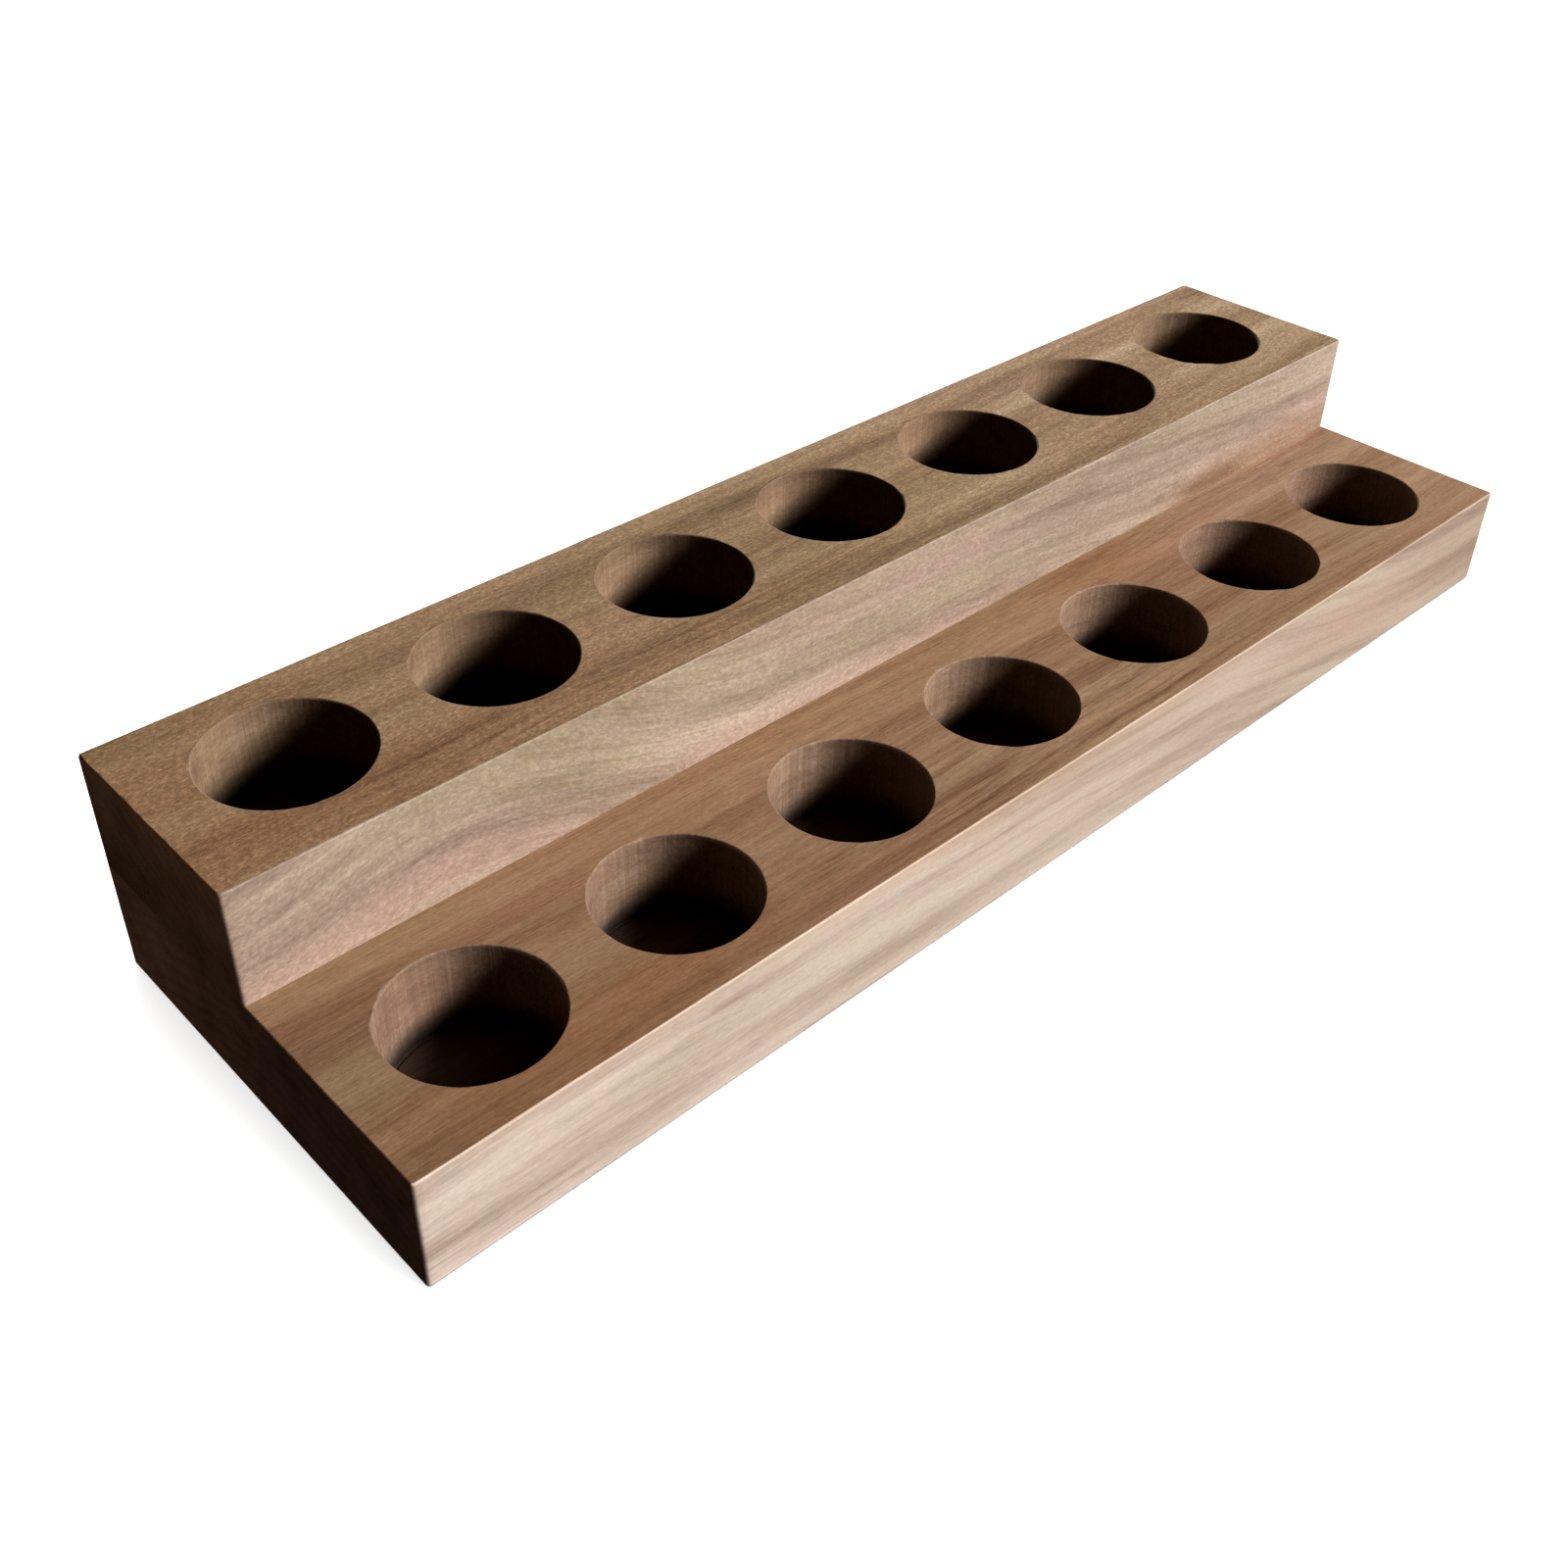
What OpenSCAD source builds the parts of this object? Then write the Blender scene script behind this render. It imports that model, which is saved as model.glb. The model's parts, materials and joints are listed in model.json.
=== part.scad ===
// Two-tier tool storage caddy in walnut.
// A full-depth base board carries the front row of sockets. A riser board of half
// that depth is laminated on its rear half and carries the second row, one board
// thickness higher. Dowels inside the glue joint register the riser on the base.
// Frame: X along the length, Y towards the rear, Z up. The origin is at the centre
// of the footprint, on the surface the caddy stands on. Millimetres.

/* [Boards] */
// Thickness of the base board and of the riser board
board_t = 20; // [18:0.5:30]
// Depth of one tier, front to back
tier_depth = 40; // [38:1:60]
// Flat broken along the arrises by sanding
edge_break = 0.4; // [0.2:0.1:1]

/* [Sockets] */
// Number of sockets in each row
sockets_per_row = 7; // [5:1:10]
// Diameter of a socket
socket_d = 26; // [18:0.5:28]
// Centre-to-centre spacing along a row
socket_pitch = 36; // [36:1:46]
// Depth of a socket, mouth to floor
socket_depth = 15; // [10:0.5:16]
// Centre of the end sockets to the end of the board
end_margin = 22; // [18:1:40]
// Row centreline to the outer long edge of its board
row_setback = 19; // [17:0.5:20]
// Flat broken round the mouth of a socket
mouth_break = 0.25; // [0.1:0.05:0.5]

/* [Drill marks] */
// Diameter of the centre-spur dimple in a socket floor
spur_d = 3; // [1:0.5:5]
// Depth of the centre-spur dimple
spur_depth = 1.2; // [0.5:0.1:1.8]

/* [Dowels] */
// Diameter of a dowel pin
dowel_d = 5.9; // [3.9:0.5:6.9]
// Length of a dowel pin
dowel_len = 20; // [12:1:24]
// Radial room for glue between a dowel and its hole
dowel_gap = 0.05; // [0.02:0.01:0.2]
// Room past each end of a dowel
dowel_end_room = 0.5; // [0.2:0.1:1]
// Flutes cut along a dowel
dowel_flutes = 12; // [8:1:16]

/* [Hidden] */

length = (sockets_per_row - 1) * socket_pitch + 2 * end_margin;
depth = 2 * tier_depth;
half_l = length / 2;
half_d = depth / 2;
riser_y = half_d - tier_depth;          // front face of the riser
base_top = board_t;
riser_top = 2 * board_t;
front_row_y = -half_d + row_setback;
rear_row_y = half_d - row_setback;
socket_x = [for (i = [0 : sockets_per_row - 1]) -half_l + end_margin + i * socket_pitch];

// Dowels stand in the webs between neighbouring sockets: the outer pair towards the
// rear edge and the inner pair towards the riser's front face.
web_out = -half_l + end_margin + socket_pitch / 2;
web_in = -half_l + end_margin + (floor((sockets_per_row - 1) / 2) - 0.5) * socket_pitch;
dowel_inset = 10;
dowel_xy = [
    [web_out, half_d - dowel_inset],
    [web_in, riser_y + dowel_inset],
    [-web_in, riser_y + dowel_inset],
    [-web_out, half_d - dowel_inset]
];
dowel_hole_r = dowel_d / 2 + dowel_gap;
dowel_hole_half = dowel_len / 2 + dowel_end_room;

WALNUT_BASE = [0.59, 0.46, 0.36];
WALNUT_RISER = [0.56, 0.44, 0.34];
BEECH = [0.82, 0.69, 0.52];

$fn = 96;

// Cutter that breaks one arris. It runs along +Z for len, with the corner of the
// board at the origin and the board towards -X and -Y.
module arris(len, c = edge_break) {
    e = 1;
    linear_extrude(len)
        polygon([[-c - e, e], [e, -c - e], [e, e]]);
}

// Arris cutters laid along each axis. sx, sy and sz are +1 or -1 and point out of
// the board.
module arris_x(x0, x1, y, z, sy, sz) {
    translate([x0, y, z])
        rotate([90, 0, 90])
            quadrant(sy, sz) arris(x1 - x0);
}

module arris_y(y0, y1, x, z, sx, sz) {
    translate([x, y1, z])
        rotate([90, 0, 0])
            quadrant(sx, sz) arris(y1 - y0);
}

module arris_z(z0, z1, x, y, sx, sy) {
    translate([x, y, z0])
        quadrant(sx, sy) arris(z1 - z0);
}

// Mirrors its child so that it faces the quadrant given by the two signs.
module quadrant(a, b) {
    mirror([a < 0 ? 1 : 0, 0, 0])
        mirror([0, b < 0 ? 1 : 0, 0])
            children();
}

// Flat-bottomed drilled socket with a broken mouth and the bit's centre-spur dimple.
// Its mouth is at z = 0 and it goes down.
module socket() {
    r = socket_d / 2;
    rotate_extrude()
        polygon([
            [0, 1],
            [r + mouth_break + 1, 1],
            [r, -mouth_break],
            [r, -socket_depth],
            [spur_d / 2, -socket_depth],
            [0, -socket_depth - spur_depth]
        ]);
}

module socket_row(y, z) {
    for (x = socket_x)
        translate([x, y, z]) socket();
}

// Dowel holes, half in each board.
module dowel_holes() {
    for (p = dowel_xy)
        translate([p[0], p[1], base_top - dowel_hole_half])
            cylinder(r = dowel_hole_r, h = 2 * dowel_hole_half);
}

// Full-depth lower board with the front row of sockets.
module base_board() {
    color(WALNUT_BASE)
        difference() {
            translate([-half_l, -half_d, 0]) cube([length, depth, board_t]);
            socket_row(front_row_y, base_top);
            dowel_holes();
            // underside
            arris_x(-half_l - 1, half_l + 1, -half_d, 0, -1, -1);
            arris_x(-half_l - 1, half_l + 1, half_d, 0, 1, -1);
            arris_y(-half_d - 1, half_d + 1, -half_l, 0, -1, -1);
            arris_y(-half_d - 1, half_d + 1, half_l, 0, 1, -1);
            // exposed top
            arris_x(-half_l - 1, half_l + 1, -half_d, base_top, -1, 1);
            arris_y(-half_d - 1, riser_y, -half_l, base_top, -1, 1);
            arris_y(-half_d - 1, riser_y, half_l, base_top, 1, 1);
            // corners
            for (sx = [-1, 1], sy = [-1, 1])
                arris_z(-1, base_top + 1, sx * half_l, sy * half_d, sx, sy);
        }
}

// Half-depth upper board with the rear row of sockets.
module riser_board() {
    color(WALNUT_RISER)
        difference() {
            translate([-half_l, riser_y, base_top]) cube([length, tier_depth, board_t]);
            socket_row(rear_row_y, riser_top);
            dowel_holes();
            // top
            arris_x(-half_l - 1, half_l + 1, riser_y, riser_top, -1, 1);
            arris_x(-half_l - 1, half_l + 1, half_d, riser_top, 1, 1);
            arris_y(riser_y - 1, half_d + 1, -half_l, riser_top, -1, 1);
            arris_y(riser_y - 1, half_d + 1, half_l, riser_top, 1, 1);
            // corners
            for (sx = [-1, 1]) {
                arris_z(base_top - 1, riser_top + 1, sx * half_l, riser_y, sx, -1);
                arris_z(base_top - 1, riser_top + 1, sx * half_l, half_d, sx, 1);
            }
        }
}

// Fluted beech pin with chamfered ends, centred on the glue joint.
module dowel_pin(i) {
    r = dowel_d / 2;
    ch = 0.8;
    color(BEECH)
        translate([dowel_xy[i][0], dowel_xy[i][1], base_top - dowel_len / 2])
            difference() {
                rotate_extrude()
                    polygon([
                        [0, 0], [r - ch, 0], [r, ch],
                        [r, dowel_len - ch], [r - ch, dowel_len], [0, dowel_len]
                    ]);
                for (k = [0 : dowel_flutes - 1])
                    rotate([0, 0, (k + 0.5) * 360 / dowel_flutes])
                        translate([r + 0.25, 0, -1])
                            cylinder(r = 0.5, h = dowel_len + 2, $fn = 24);
            }
}

base_board();
riser_board();
dowel_pin(0);  // dowel_pin_1
dowel_pin(1);  // dowel_pin_2
dowel_pin(2);  // dowel_pin_3
dowel_pin(3);  // dowel_pin_4
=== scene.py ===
# Two-tier walnut caddy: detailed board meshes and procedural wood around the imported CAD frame.
import json
import math

import bmesh
import bpy
import numpy as np
from mathutils import Matrix, Vector, noise


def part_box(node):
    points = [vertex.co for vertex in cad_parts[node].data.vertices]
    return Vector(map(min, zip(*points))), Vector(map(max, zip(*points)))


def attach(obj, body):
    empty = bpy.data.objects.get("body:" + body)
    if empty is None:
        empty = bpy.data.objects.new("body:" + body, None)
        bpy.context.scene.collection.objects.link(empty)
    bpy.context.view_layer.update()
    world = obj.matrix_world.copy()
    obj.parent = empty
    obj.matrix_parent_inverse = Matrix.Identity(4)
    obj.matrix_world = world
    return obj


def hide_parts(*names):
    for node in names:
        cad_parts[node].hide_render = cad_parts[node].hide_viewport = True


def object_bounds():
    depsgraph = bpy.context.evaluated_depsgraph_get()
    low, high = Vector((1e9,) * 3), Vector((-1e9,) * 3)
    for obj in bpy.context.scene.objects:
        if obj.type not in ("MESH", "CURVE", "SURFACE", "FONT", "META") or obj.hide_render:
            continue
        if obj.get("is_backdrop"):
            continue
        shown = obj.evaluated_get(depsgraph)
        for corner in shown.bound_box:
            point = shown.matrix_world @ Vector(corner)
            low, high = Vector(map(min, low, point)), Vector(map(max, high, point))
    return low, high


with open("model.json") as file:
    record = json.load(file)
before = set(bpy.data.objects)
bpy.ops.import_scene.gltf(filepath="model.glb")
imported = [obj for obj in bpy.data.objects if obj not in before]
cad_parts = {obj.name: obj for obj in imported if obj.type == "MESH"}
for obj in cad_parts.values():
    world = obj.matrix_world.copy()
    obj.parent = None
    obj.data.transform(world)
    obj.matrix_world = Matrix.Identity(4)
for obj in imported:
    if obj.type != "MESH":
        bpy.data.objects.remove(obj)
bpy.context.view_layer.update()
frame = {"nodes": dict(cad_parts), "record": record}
MM = 0.001

# ---------------------------------------------------------------- frame facts
BASE_LO, BASE_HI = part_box("base_board")
RISER_LO, RISER_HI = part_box("riser_board")
sockets = {"front": [], "rear": []}
for mount in frame["record"]["mounts"]:
    if mount["kind"] == "bore":
        row = mount["name"].split("_")[0]
        sockets[row].append((mount["pos_m"][0], mount["pos_m"][1], mount["dims"]["r_mm"] * MM))
for row in sockets:
    sockets[row].sort()
SOCKET_DEPTH = 15.0 * MM
dowels = []
for name in frame["nodes"]:
    if name.startswith("dowel_pin"):
        lo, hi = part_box(name)
        dowels.append(((lo.x + hi.x) / 2, (lo.y + hi.y) / 2, lo.z, hi.z))
dowels.sort()


def fbm(x, y, z, octaves=3):
    v, a = 0.0, 1.0
    for _ in range(octaves):
        v += a * noise.noise(Vector((x, y, z)))
        x, y, z, a = x * 2.03 + 5.1, y * 2.03 + 1.7, z * 2.03 + 9.2, a * 0.5
    return v


# ---------------------------------------------------------------- mesh building
TOP, SIDE, END, BORE, FLOOR, UNDER = range(6)


class Shell:
    """Vertices and quads collected patch by patch, welded at the end."""

    def __init__(self):
        self.v, self.f, self.m = [], [], []
        self.n = 0

    def strip(self, rings, mat, closed):
        """Quads between successive rings, each an array of points in the same order."""
        rings = [np.asarray(r, float) for r in rings]
        k = len(rings[0])
        base = self.n
        for r in rings:
            self.v.append(r)
        self.n += k * len(rings)
        cols = np.arange(k if closed else k - 1)
        nxt = (cols + 1) % k
        for i in range(len(rings) - 1):
            a, b = base + i * k, base + (i + 1) * k
            m = mat[i] if isinstance(mat, (list, tuple)) else mat
            q = np.stack([a + cols, a + nxt, b + nxt, b + cols], 1)
            self.f.append(q)
            self.m.append(np.full(len(q), 0, int) + m if np.isscalar(m) else np.asarray(m)[cols])
        return base

    def fan(self, ring, centre, mat):
        ring = np.asarray(ring, float)
        k = len(ring)
        base = self.n
        self.v.append(ring)
        self.v.append(np.asarray([centre], float))
        self.n += k + 1
        c = np.arange(k)
        t = np.stack([base + c, base + (c + 1) % k, np.full(k, base + k), np.full(k, -1)], 1)
        self.f.append(t)
        self.m.append(np.full(k, mat))

    def whisker(self, root, tip, width, thick, mat):
        """A torn fibre: a thin closed sliver from root to tip."""
        root, tip = np.asarray(root, float), np.asarray(tip, float)
        y = np.array([0.0, width / 2, 0.0])
        z = np.array([0.0, 0.0, thick])
        base = self.n
        self.v.append(np.array([root - y, root + y, root + y - z, root - y - z, tip]))
        self.n += 5
        q = [(0, 3, 2, 1), (0, 1, 4, -1), (1, 2, 4, -1), (2, 3, 4, -1), (3, 0, 4, -1)]
        self.f.append(np.array([[base + i if i >= 0 else -1 for i in r] for r in q]))
        self.m.append(np.full(5, mat))

    def build(self, name):
        v = np.concatenate(self.v)
        q = np.concatenate(self.f)
        m = np.concatenate(self.m)
        faces = [tuple(int(i) for i in r if i >= 0) for r in q]
        me = bpy.data.meshes.new(name)
        me.from_pydata([tuple(p) for p in v], [], faces)
        me.polygons.foreach_set("material_index", m.astype(np.int32))
        me.update()
        bm = bmesh.new()
        bm.from_mesh(me)
        bmesh.ops.remove_doubles(bm, verts=bm.verts, dist=2e-6)
        bmesh.ops.dissolve_degenerate(bm, edges=bm.edges, dist=1e-7)
        bmesh.ops.recalc_face_normals(bm, faces=bm.faces)
        bm.to_mesh(me)
        open_edges = sum(1 for e in bm.edges if len(e.link_faces) != 2)
        print(name, "faces", len(bm.faces), "open edges", open_edges)
        bm.free()
        for p in me.polygons:
            p.use_smooth = True
        o = bpy.data.objects.new(name, me)
        bpy.context.scene.collection.objects.link(o)
        return o


def steps(a, b, size):
    n = max(1, int(round(abs(b - a) / size)))
    return np.linspace(a, b, n + 1)


def cell_perimeter(xs, ys):
    """Counter-clockwise loop of the points on a rectangle's grid lines."""
    p = [(x, ys[0]) for x in xs[:-1]]
    p += [(xs[-1], y) for y in ys[:-1]]
    p += [(x, ys[-1]) for x in xs[:0:-1]]
    p += [(xs[0], y) for y in ys[:0:-1]]
    return np.array(p)


RADIAL = (0.0, 0.16, 0.32, 0.47, 0.6, 0.72, 0.82, 0.9, 0.955, 0.985, 1.0)


def socket_profile(e):
    """(radius offset, depth, patch) down a flat-bottomed drilled socket, in mm, from a mouth eased by e."""
    rows = []
    for t in (0.0, 22.5, 45.0, 67.5, 90.0):
        a = math.radians(t)
        rows.append((e * (1 - math.sin(a)), e * (1 - math.cos(a)), BORE))
    rows.append((0.0, e + 0.07, BORE))
    return rows


def add_cell(sh, xs, ys, z, up, hole, seed):
    """One rectangular cell of a horizontal face. hole is None, ("socket", x, y, r, depth) or ("dowel", x, y, r, depth)."""
    per = cell_perimeter(xs, ys)
    if hole is None:
        sh.fan(per_ring(per, z), ((xs[0] + xs[-1]) / 2, (ys[0] + ys[-1]) / 2, z), TOP if up else UNDER)
        return
    kind, cx, cy, r, depth = hole
    ang = np.arctan2(per[:, 1] - cy, per[:, 0] - cx)
    ca, sa = np.cos(ang), np.sin(ang)
    k = len(per)
    sgn = 1.0 if up else -1.0
    face = TOP if up else UNDER

    def ring(rad, dep):
        rad = np.broadcast_to(rad, (k,))
        dep = np.broadcast_to(dep, (k,))
        return np.stack([cx + rad * ca, cy + rad * sa, z - sgn * dep], 1)

    if kind == "socket":
        # the eased mouth is a little uneven, with small tear-outs where the cutter crossed the grain
        ease = np.array([0.24 + 0.10 * fbm(a * 5 + seed, seed * 3.1, 0.0) for a in ang])
        ease = np.clip(ease, 0.12, 0.5)
        chips = np.zeros(k)
        for (c_ang, c_w, c_d) in CHIPS.get(seed, ()):
            d = (np.degrees(ang) - c_ang + 180) % 360 - 180
            ragged = np.array([0.75 + 0.5 * noise.noise(Vector((a * 30, seed, 2.0))) for a in ang])
            chips = np.maximum(chips, c_d * np.clip(1 - (d / c_w) ** 2, 0, 1) * ragged)
        outer = (ease + chips) * MM
        prof = []
        for t in (90.0, 67.5, 45.0, 22.5, 0.0):
            a = math.radians(t)
            prof.append(ring(r + outer * (1 - math.cos(a)), (ease + 0.55 * chips) * MM * (1 - math.sin(a))))
        rim = ring(r + outer + 0.07 * MM, 0.0)
    else:
        prof = [ring(r, 0.0), ring(r, 0.07 * MM)]
        rim = ring(r + 0.07 * MM, 0.0)
    flat = [per_ring(per, z)]
    for t in RADIAL[1:-1]:
        flat.append(flat[0] + (rim - flat[0]) * t)
    flat += [rim, prof[0]]
    rings = flat + prof[1:]
    mats = [face] * (len(flat) - 1) + [BORE] * (len(prof) - 1)

    if kind == "socket":
        # bore wall with the fine lengthwise chatter of the bit, then the rim groove, floor rings and spur dimple
        wall = []
        depths = np.concatenate([[0.62], np.arange(1.2, 14.5, 0.95), [14.75]])
        for j, d in enumerate(depths):
            rip = np.array([
                0.030 * noise.noise(Vector((a * r / MM * 0.9, seed * 7.3, d * 0.05)))
                + 0.018 * noise.noise(Vector((seed, d * 1.1, a * 1.5)))
                for a in ang])
            wall.append(ring(r + rip * MM * min(1.0, d / 1.5), d * MM))
        dp = depth / MM
        groove = [ring(r, (dp + 0.22) * MM), ring(r - 0.22 * MM, (dp + 0.24) * MM), ring(r - 0.42 * MM, (dp + 0.02) * MM)]
        floor = [ring(r - 0.55 * MM, dp * MM)]
        for q in np.arange(11.8, 1.8, -0.8):
            lift = 0.035 * math.sin(q * 3.9 + seed) + 0.02 * math.sin(q * 9.1)
            floor.append(ring(q * MM, (dp + lift) * MM))
        floor += [ring(1.62 * MM, dp * MM), ring(1.5 * MM, (dp + 0.03) * MM), ring(0.75 * MM, (dp + 0.62) * MM)]
        rings += wall + groove + floor
        mats += [BORE] * len(wall) + [BORE, FLOOR, FLOOR] + [FLOOR] * len(floor)
        last, tip = rings[-1], (cx, cy, z - sgn * (depth + 1.2 * MM))
    else:
        for d in (0.33, 0.66, 1.0):
            rings.append(ring(r, depth * d))
            mats.append(BORE)
        last, tip = rings[-1], (cx, cy, z - sgn * depth)
    sh.strip(rings, mats, closed=True)
    sh.fan(last, tip, FLOOR)


def per_ring(per, z):
    return np.concatenate([per, np.full((len(per), 1), z)], 1)


def board(name, lo, hi, top_cells, bottom_cells, xs, ys, ease_top, ease_bottom, seed, whiskers, whisker_to, rv=0.62 * MM):
    """A board with drilled faces. xs and ys are the grid lines of its plates; ease_*(x, y, side) is the local arris radius."""
    sh = Shell()
    corner = [math.radians(a) for a in (0, 22.5, 45, 67.5, 90)]
    A, Nn, side_id = [], [], []

    def side(points, normal, sid):
        for p in points:
            A.append(p)
            Nn.append(normal)
            side_id.append(sid)

    def turn(p, start, sid):
        for c in corner[1:-1]:
            a = start + c
            A.append(p)
            Nn.append((math.cos(a), math.sin(a)))
            side_id.append(sid)

    x0, x1, y0, y1 = xs[0], xs[-1], ys[0], ys[-1]
    side([(x, y0) for x in xs], (0.0, -1.0), SIDE)
    turn((x1, y0), -math.pi / 2, END)
    side([(x1, y) for y in ys], (1.0, 0.0), END)
    turn((x1, y1), 0.0, SIDE)
    side([(x, y1) for x in xs[::-1]], (0.0, 1.0), SIDE)
    turn((x0, y1), math.pi / 2, END)
    side([(x0, y) for y in ys[::-1]], (-1.0, 0.0), END)
    turn((x0, y0), math.pi, SIDE)
    A, Nn, side_id = np.array(A), np.array(Nn), np.array(side_id)

    def ring(inset, z):
        inset = np.broadcast_to(inset, (len(A),))
        z = np.broadcast_to(z, (len(A),))
        return np.concatenate([A + Nn * (rv - inset)[:, None], z[:, None]], 1)

    et = np.array([ease_top(A[i, 0], A[i, 1], Nn[i]) for i in range(len(A))])
    eb = np.array([ease_bottom(A[i, 0], A[i, 1], Nn[i]) for i in range(len(A))])
    rings = [ring(rv, lo.z), ring(np.minimum(eb + 0.07 * MM, rv * 0.99), lo.z)]
    mats = [UNDER]
    for t in (90, 67.5, 45, 22.5, 0):
        a = math.radians(t)
        rings.append(ring(eb * (1 - math.cos(a)), lo.z + eb * (1 - math.sin(a))))
        mats.append(UNDER if t == 90 else side_id)
    rings.append(ring(0.0, lo.z + eb + 0.07 * MM))
    mats.append(side_id)
    zs = np.linspace(lo.z + 0.9 * MM, hi.z - 0.9 * MM, 19)
    for z in zs:
        rings.append(ring(0.0, z))
        mats.append(side_id)
    rings.append(ring(0.0, hi.z - et - 0.07 * MM))
    mats.append(side_id)
    for t in (0, 22.5, 45, 67.5, 90):
        a = math.radians(t)
        rings.append(ring(et * (1 - math.cos(a)), hi.z - et * (1 - math.sin(a))))
        mats.append(side_id)
    rings.append(ring(np.minimum(et + 0.07 * MM, rv * 0.99), hi.z))
    mats.append(TOP)
    rings.append(ring(rv, hi.z))
    mats.append(TOP)
    sh.strip(rings, mats, closed=True)
    for i, (cx, cy, hole) in enumerate(top_cells):
        add_cell(sh, cx, cy, hi.z, True, hole, seed + i)
    for i, (cx, cy, hole) in enumerate(bottom_cells):
        add_cell(sh, cx, cy, lo.z, False, hole, seed + 50 + i)
    # torn fibres left by the saw over the left arris
    for k in range(whiskers):
        u = 0.5 + 0.5 * math.sin(k * 12.9898 + seed) * math.cos(k * 4.1414)
        r1 = 0.5 + noise.noise(Vector((k * 0.731, seed, 0.5)))
        r2 = 0.5 + noise.noise(Vector((k * 0.377, seed, 7.5)))
        y = lo.y + 0.8 * MM + (min(y1, whisker_to) - lo.y - 1.6 * MM) * ((k + u) / whiskers)
        root = (lo.x + (0.50 + 0.3 * r1) * MM, y, hi.z - 0.012 * MM)
        tip = (lo.x + 0.03 * MM, y + (r1 - 0.5) * 0.5 * MM, hi.z - (0.03 + 0.16 * r2) * MM)
        sh.whisker(root, tip, (0.14 + 0.55 * max(0.0, r2) ** 2) * MM, 0.08 * MM, TOP)
    return sh.build(name)


# tear-outs round the mouths: cell seed -> (angle, half width in degrees, depth in mm)
CHIPS = {
    10: ((118, 9, 0.5), (150, 6, 0.35)),
    11: ((72, 5, 0.5), (128, 7, 0.35)),
    13: ((96, 5, 0.4), (231, 6, 0.3)),
    14: ((84, 6, 0.6), (205, 5, 0.35)),
    15: ((248, 10, 0.5), (60, 6, 0.4)),
    30: ((140, 7, 0.5), (255, 5, 0.25)),
    31: ((62, 4, 0.35), (300, 5, 0.25)),
    32: ((99, 5, 0.35),),
    33: ((142, 6, 0.35), (330, 5, 0.25)),
    34: ((103, 5, 0.95), (88, 3, 0.5)),
    35: ((150, 6, 0.4), (262, 6, 0.3)),
    36: ((152, 7, 0.6), (208, 14, 0.55), (238, 9, 0.5)),
}

RV = 0.62 * MM


def cell_lines(lo, hi, pitch_edges, size):
    """Grid lines from lo to hi that pass through every value in pitch_edges."""
    knots = [lo] + list(pitch_edges) + [hi]
    out = [lo]
    spans = []
    for a, b in zip(knots[:-1], knots[1:]):
        s = steps(a, b, size)
        spans.append(s)
        out += list(s[1:])
    return np.array(out), spans


front_x = [s[0] for s in sockets["front"]]
webs = [(a + b) / 2 for a, b in zip(front_x[:-1], front_x[1:])]


def dowel_in(xspan, yspan):
    for (x, y, z0, z1) in dowels:
        if xspan[0] <= x < xspan[-1] and yspan[0] <= y < yspan[-1]:
            return x, y, z0, z1
    return None


DOWEL_HOLE_R, DOWEL_END = 3.0 * MM, 0.5 * MM
half_cells = sorted(front_x + webs)  # socket centres and web lines, sorted; nothing below reads them


def plate_cells(xspans, ys, sox):
    out = []
    for xsp in xspans:
        h = None
        for (x, y, r) in sox:
            if xsp[0] < x < xsp[-1] and ys[0] < y < ys[-1]:
                h = ("socket", x, y, r, SOCKET_DEPTH)
        out.append((xsp, ys, h))
    return out


def dowel_cells(xs, ys, z_face, up):
    """The hidden glue face, cut into cells on the same grid lines, with the dowel holes."""
    bx = sorted(set([0, len(xs) - 1] + [int(np.argmin(abs(xs - d[0]))) + s for d in dowels for s in (-8, 8)]))
    by = sorted(set([0, len(ys) - 1] + [int(np.argmin(abs(ys - d[1]))) + s for d in dowels for s in (-7, 7)]))
    out = []
    for i0, i1 in zip(bx[:-1], bx[1:]):
        for j0, j1 in zip(by[:-1], by[1:]):
            cx, cy = xs[i0:i1 + 1], ys[j0:j1 + 1]
            h = None
            for (x, y, z0, z1) in dowels:
                if cx[0] < x < cx[-1] and cy[0] < y < cy[-1]:
                    depth = (z_face - z0 if up else z1 - z_face) + DOWEL_END
                    h = ("dowel", x, y, DOWEL_HOLE_R, depth)
            out.append((cx, cy, h))
    return out


# Base board
bxs, bspans = cell_lines(BASE_LO.x + RV, BASE_HI.x - RV, webs, 1.0 * MM)
by_front = steps(BASE_LO.y + RV, RISER_LO.y, 1.0 * MM)
by_rear = steps(RISER_LO.y, BASE_HI.y - RV, 1.0 * MM)
bys = np.concatenate([by_front, by_rear[1:]])


def wander(x, y, seed, amount):
    return amount * fbm(x * 90 + seed, y * 90 + 3.3 * seed, seed * 0.7, 2)


def base_ease_top(x, y, n):
    if y > RISER_LO.y + 0.2 * MM:
        return 0.05 * MM  # under the riser the boards meet square
    e = 0.28 + wander(x, y, 1.0, 0.09)
    if n[0] < -0.5:
        e += 0.12 * max(0.0, fbm(y * 900, 4.4, 0.0, 2))
    return min(max(e, 0.18), 0.5) * MM


def base_ease_bottom(x, y, n):
    return min(max(0.36 + wander(x, y, 2.0, 0.08), 0.2), 0.5) * MM


base = board(
    "base_board_wood", BASE_LO, BASE_HI,
    plate_cells(bspans, by_front, sockets["front"]) + dowel_cells(bxs, by_rear, BASE_HI.z, True),
    [(bxs, bys, None)],
    bxs, bys, base_ease_top, base_ease_bottom, 10, 40, RISER_LO.y)

# Riser board
rxs, rspans = cell_lines(RISER_LO.x + RV, RISER_HI.x - RV, webs, 1.0 * MM)
rys = steps(RISER_LO.y + RV, RISER_HI.y - RV, 1.0 * MM)


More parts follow.
